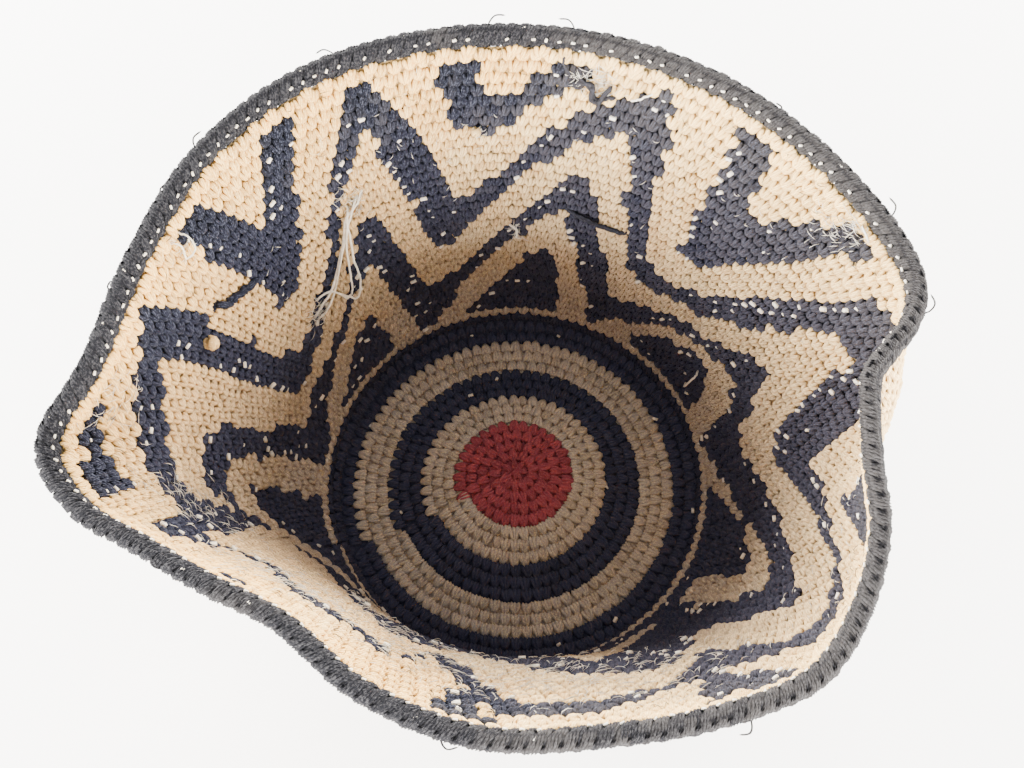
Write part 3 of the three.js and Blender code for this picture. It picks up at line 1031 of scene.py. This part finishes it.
# %% Cream stitches whose round tops poke up into the edging
scallop_lift = 0.9
scallop_share = (np.arange(rim_stitches) + 0.35 + stitch_rng.normal(0, 0.05, rim_stitches))
scallop_share = scallop_share[stitch_rng.random(rim_stitches) < 0.85] / rim_stitches
count = len(scallop_share)
point, across, up, height = stitch_frames(np.full(count, fabric_rounds - 0.05),
                                          scallop_share * columns, "inside")
point = point + np.cross(across, up) * scallop_lift
size = np.stack([stitch_rng.uniform(0.9, 1.15, count), stitch_rng.uniform(0.8, 1.1, count),
                 np.ones(count)], axis=1)
worked("edge_scallops", stitch_inside, (point, across, up), size, CREAM,
       stitch_rng.random(count) * 0.5, 63)

# %% Flecks between the two rounds of edging
speck_sink = 0.5
speck_rows = []
for degrees, phase, chance, scale in ((-92, 0.25, 0.8, 0.7), (-30, 0.0, 0.12, 0.6)):
    kept = stitch_rng.random(edging_stitches) < chance
    speck_rows.append((ring_shares(phase)[kept], degrees, speck_sink, [scale] * 3))
places, size, count = edging_places(speck_rows)
worked("edging_flecks", fleck, places, size, CREAM, stitch_rng.random(count) * 0.4, 62,
       worn_and_painted_light_yarns, tilt=0.8)

# %% [markdown]
# ## Loose yarns and worn fibres
# An old hat tells how it was made and used: ends of joined yarns work loose, a broken yarn hangs
# down in a loop, a dark yarn lies over the stitches that it should run inside, and wear pulls
# fibres out of the brim. A loose yarn is a thin tube through a few places on the fabric, so that
# it starts and ends in the cloth. Each place is a turn in degrees, a height on the chart and a
# lift off the fabric in millimetres.

# %% Places on the fabric, and tubes along them
loose_rng = np.random.default_rng(5)
kinks = 5
yarn_sides = 5
twist_length = 5
wall_places = np.arange(0, wall_rounds + 0.1, 0.25)
wall_heights = [wall_share(place) * chart_height for place in wall_places]


def on_fabric(turn, height, lift):
    """A point over the inner face, and which way is inwards there; below 0 is on the crown."""
    above = np.interp(height, wall_heights, wall_places) if height > 0 else height
    at = np.full(columns, crown_rounds + above)
    ring = on_grid(inner_face, at, np.arange(columns))
    angle = np.degrees(np.arctan2(ring[:, 1], ring[:, 0]))
    nearest = np.argmin(np.abs((angle - turn + 180) % 360 - 180))
    inwards = unit(on_grid(inwards_grid, at[:1], np.array([float(nearest)])))[0]
    return ring[nearest] + inwards * lift, inwards


def loose_yarn(radius, places):
    """A loose yarn through places on the fabric, with the small kinks of old cotton."""
    line = open_curve(np.array([on_fabric(*place)[0] for place in places]), kinks)
    line[1:-1] += loose_rng.normal(0, radius * 0.25, (len(line) - 2, 3))
    points, faces, uvs = strand(line, radius, yarn_sides, long=True)
    run = np.linalg.norm(np.diff(line, axis=0), axis=1).sum()
    return points, faces, [(u, v * run / twist_length) for u, v in uvs]


def yarn_piece(name, parts, material):
    """One piece of many loose tubes in one yarn."""
    piece = stitch_object(name, *parts)
    mesh = piece.data
    spots = np.empty(len(mesh.vertices) * 3)
    mesh.vertices.foreach_get("co", spots)
    mesh.vertices.foreach_set("co", ((spots.reshape(-1, 3) + hat_place) * MM).ravel())
    keep(mesh, "relief", 1.0)
    keep(mesh, "tone", 0.0)
    mesh.materials.append(material)
    mesh.update()
    return finished(piece)


# %% Loose yarns: the radius of each, and the places that it passes
cream_yarns = (
    # a broken yarn that hangs in loops off the left wall
    (0.5, ((124, 28.5, -1), (128, 27, 2), (131, 26.5, 2.5), (134, 24.5, 2.5), (138, 22.5, 2),
           (143, 20.5, 2), (148, 19.5, 1), (151, 18.5, -1))),
    (0.42, ((129, 27.5, 0), (131, 26.5, 3), (135, 23.5, 4), (138, 20, 4), (139, 18.5, 3),
            (141, 18, 2.5), (142.5, 19.5, 2))),
    (0.42, ((130, 27, 1), (132, 25.5, 4), (135, 22, 5), (136, 19.5, 5), (139, 17.5, 4),
            (141.5, 18.5, 3), (144, 20.5, 2), (148, 20.5, 0))),
    (0.4, ((126, 28, 0), (129, 27, 3), (133, 25, 3), (139, 22, 3), (146, 19, 2), (152, 18, -1))),
    # the small loop near the left edge
    (0.32, ((158, 40, -1), (158, 39, 3), (159, 38, 4.5), (161, 38, 3), (160.5, 39.2, 3),
            (160, 40, 0))),
    # short ends on the right wall and the brim
    (0.45, ((26, 9.5, -1), (24.5, 10, 3), (24, 8.5, 5), (25.5, 7, 4.5), (26.5, 6, 1))),
    (0.4, ((22.5, 40.5, -1), (21.5, 41, 2.5), (20.5, 41, 3.5), (19.5, 40.5, 2.5))),
    (0.4, ((69, 37, -1), (67.5, 37.5, 2), (66, 38, 2), (64.5, 39, -1))),
    (0.5, ((92, 19, -1), (90.5, 18.5, 2), (89.5, 17.8, 3), (89, 16.8, 1))),
)
dark_yarns = (
    # a full yarn over the stitches at the left, and one across the far wall
    (1.5, ((164.5, 31.2, -1.5), (163.5, 31, 0.8), (161, 30, 1.3), (158.5, 29.4, 1.2),
           (156, 28.9, 0.9), (153, 28.4, -1.5))),
    (1.0, ((78, 21.8, -1.5), (76, 21.6, 0.8), (72, 21.3, 1.6), (68, 21, 1.8), (65, 21, 1.6),
           (62, 21, 0.8), (61, 21, -1.5))),
    # the tangle below the far edge
    (0.95, ((80.5, 37.2, -1.5), (79.2, 37.6, 0.8), (78, 37.9, 1.6), (76.2, 37.8, 2.6),
            (75.7, 36.6, 3), (74.6, 36.2, 3), (73.2, 37, 2.6), (71.8, 38.4, 1.6))),
    (0.85, ((79.5, 38.2, -1), (77.6, 38.3, 1.4), (76, 37.2, 2.4), (75, 36.4, 2), (73, 36.6, 1.6),
           (71.6, 37, 0.4))),
    (0.5, ((80, 38, -1), (80.4, 38.8, 2), (81.2, 40, 3), (81.8, 41, 3.6))),
)
loose_cream = [loose_yarn(*yarn) for yarn in cream_yarns]
yarn_piece("loose_dark_yarns", [loose_yarn(*yarn) for yarn in dark_yarns], outer_indigo)
yarn_piece("loose_cream_yarns", loose_cream, worn_cotton)

# %% [markdown]
# ## Knots and ends
# Where two yarns were joined, two small cream knots stand on the brim. Each is a plump core with
# rings of yarn wound over it. Ends of the dark yarn curl off the edge; each is a short tube that
# starts at the edging.

# %% Two little knots, each a ball of yarn wound on itself
wraps = 7
wrap_points = 14
knots = []
for turn, height, size in ((169.6, 29.6, 1.0), (98, 31.5, 0.7)):
    middle, inwards = on_fabric(turn, height, 1.4)
    ahead = unit(np.cross(inwards, [0.2, 0.1, 1.0]))
    core = [middle + ahead * size * x for x in (-2.1, -1.2, 0, 1.2, 2.1)]
    knots.append(strand(core, 1.7 * size, 8))
    for wrap in range(wraps):
        tip = math.pi * wrap / wraps
        level = ahead * math.cos(tip) + np.cross(inwards, ahead) * math.sin(tip)
        pole = unit(level + inwards * 0.3)
        way = unit(np.cross(pole, inwards))
        spin = np.linspace(0.1, 2 * math.pi - 0.1, wrap_points)[:, None]
        coil = way * np.cos(spin) + np.cross(pole, way) * np.sin(spin)
        knots.append(strand(middle + coil * 2.3 * size, 0.75 * size, 5, long=True))
yarn_piece("knots", knots, cream_cotton)

# %% Ends that curl off the edge
edge_ends = []
for turn in (95, 67, 44, 21, 146, 171, -145, 120, -60, -100, 5, 80, 155, -170):
    start, inwards = on_fabric(turn, 41, -1.5)
    outward = unit(np.array([math.cos(math.radians(turn)), math.sin(math.radians(turn)), 0]))
    sideways = np.cross(outward, [0, 0, 1]) * loose_rng.choice([-1, 1])
    start = start + outward * 3 + [0, 0, 5]
    reach = loose_rng.uniform(2.5, 6.5)
    line = [start - outward * 3]
    for out, aside, up in ((0.5, 0.1, 0), (0.9, 0.5, 0.2), (0.7, 1.1, 0.4)):
        line.append(start + outward * reach * out + sideways * reach * aside + [0, 0, reach * up])
    edge_ends.append(strand(open_curve(np.array(line), 4), 0.3, 4, long=True))
yarn_piece("edge_ends", edge_ends, edging_cotton)

# %% [markdown]
# ## Worn fibres
# Rubbing pulls single fibres out of the cloth, most of all on the near brim and round the broken
# yarns. A fibre is a hair-thin tube that leaves the cloth, lies along it and curls at its end.
# Patches of them are strewn round the worn places, and dark ones all along the edge.


# %% Worn fibres
def fibre(turn, height, length, heading, stand):
    """One pulled fibre: it leaves the cloth, lies along it and curls at its end."""
    start, inwards = on_fabric(turn, height, 0.6)
    across = unit(np.cross(inwards, [0.2, 0.1, 1.0]))
    ahead = across * math.cos(heading) + np.cross(inwards, across) * math.sin(heading)
    bend = np.cross(inwards, ahead) * loose_rng.normal(0, 0.14)
    line = [start, start + ahead * length * 0.35 + inwards * stand,
            start + (ahead * 0.7 + bend) * length + inwards * stand * 1.3,
            start + (ahead + bend * 2.4) * length + inwards * stand * 0.6]
    return strand(line, 0.13, 3, long=True)


# turn, height, spread of turn, spread of height, fibres, length
worn_places = (
    (-115, 27, 24, 9, 240, 6.5), (-85, 28, 22, 9, 220, 6.5), (-140, 31, 14, 8, 130, 6.0),
    (-163, 28, 8, 8, 130, 6.0), (-176, 38, 5, 3, 50, 4.5), (-60, 26, 14, 8, 90, 6.0),
    (73, 38.5, 3, 1.5, 60, 6.0), (78, 38, 2, 1, 24, 4.5), (22, 40, 3, 1.5, 36, 5.5),
    (25, 38, 4, 2, 36, 5.0), (127, 27.5, 3, 2, 50, 6.0), (148, 19.5, 3, 1.5, 40, 5.0),
    (90, 18, 1.2, 1, 14, 4.5), (97, 31.5, 1.5, 1, 12, 3.5), (159, 38.5, 2, 1.5, 24, 4.0),
    (50, 30, 40, 8, 50, 3.0), (110, 30, 40, 8, 50, 3.0), (-30, 30, 16, 8, 50, 4.5),
)
lowest_fibre = 2
highest_fibre = 40.8
dark_fibre_count = 260
cream_fibres = []
for turn, height, turn_spread, height_spread, count, length in worn_places:
    for _ in range(count):
        place = (turn + loose_rng.normal(0, turn_spread / 2),
                 min(max(height + loose_rng.normal(0, height_spread / 2), lowest_fibre),
                     highest_fibre))
        cream_fibres.append(fibre(*place, length * loose_rng.uniform(0.4, 1.2),
                                  loose_rng.normal(0.35, 0.7), loose_rng.uniform(0.2, 1.2)))
yarn_piece("worn_fibres", cream_fibres, worn_cotton)
dark_fibres = [fibre(loose_rng.uniform(-180, 180), loose_rng.uniform(34, 40.9),
                     loose_rng.uniform(1.5, 4.5), loose_rng.uniform(0, 2 * math.pi),
                     loose_rng.uniform(0.4, 1.6)) for _ in range(dark_fibre_count)]
yarn_piece("edge_fibres", dark_fibres, edging_cotton)

for helper in (stitch_inside, stitch_crown, stitch_outside, stitch_edging, fleck):
    bpy.data.objects.remove(helper)

# %% [markdown]
# ## Floor, light and camera
# The floor is plain and nearly white. The light is soft and comes from all round at a low angle,
# with less from straight above, so that the brim is bright and the deep crown stays dark and warm.

# %% Floor
reach = 2.0
floor_mesh = bpy.data.meshes.new("floor")
floor_mesh.from_pydata([(-reach, -reach, 0), (reach, -reach, 0), (reach, reach, 0),
                        (-reach, reach, 0)], [], [(0, 1, 2, 3)])
floor_paint = bpy.data.materials.new("floor_paint")
floor_paint.use_nodes = True
floor_shader = floor_paint.node_tree.nodes["Principled BSDF"].inputs
floor_shader["Base Color"].default_value = (0.97, 0.97, 0.97, 1)
floor_shader["Roughness"].default_value = 0.7
floor_mesh.materials.append(floor_paint)
shown("floor", floor_mesh)

# %% Light: a cool dim sky, and a ring of six warm soft boxes that face the hat
world = bpy.data.worlds.new("studio")
bpy.context.scene.world = world
world.use_nodes = True
sky = world.node_tree.nodes["Background"].inputs
sky["Color"].default_value = (0.86, 0.92, 1.0, 1)
sky["Strength"].default_value = 0.9
light_rise = math.radians(17)
light_distance = 1.3
azimuth_and_power = ((90, 104), (30, 78), (150, 108), (-30, 76), (-150, 90), (-90, 88))
for index, (azimuth, power) in enumerate(azimuth_and_power):
    data = bpy.data.lights.new(f"ring_light_{index}", "AREA")
    data.shape = "RECTANGLE"
    data.size = 1.1
    data.size_y = 0.45
    data.energy = power
    data.color = (1.0, 0.97, 0.92)
    lamp = shown(data.name, data)
    angle = math.radians(azimuth)
    along_floor = light_distance * math.cos(light_rise)
    lamp.location = (along_floor * math.cos(angle), along_floor * math.sin(angle),
                     light_distance * math.sin(light_rise))
    lamp.rotation_euler = (math.pi / 2 - light_rise, 0, angle + math.pi / 2)
print("lights:", len(azimuth_and_power))

# %% Camera: over the near side, looking down into the crown
camera_data = bpy.data.cameras.new("camera")
camera_data.lens = 43.0
camera_data.sensor_width = 36.0
camera = shown("camera", camera_data)
camera.location = (0.0080, -0.1697, 0.4858)
camera.rotation_euler = (math.radians(24), 0, 0)
bpy.context.scene.camera = camera
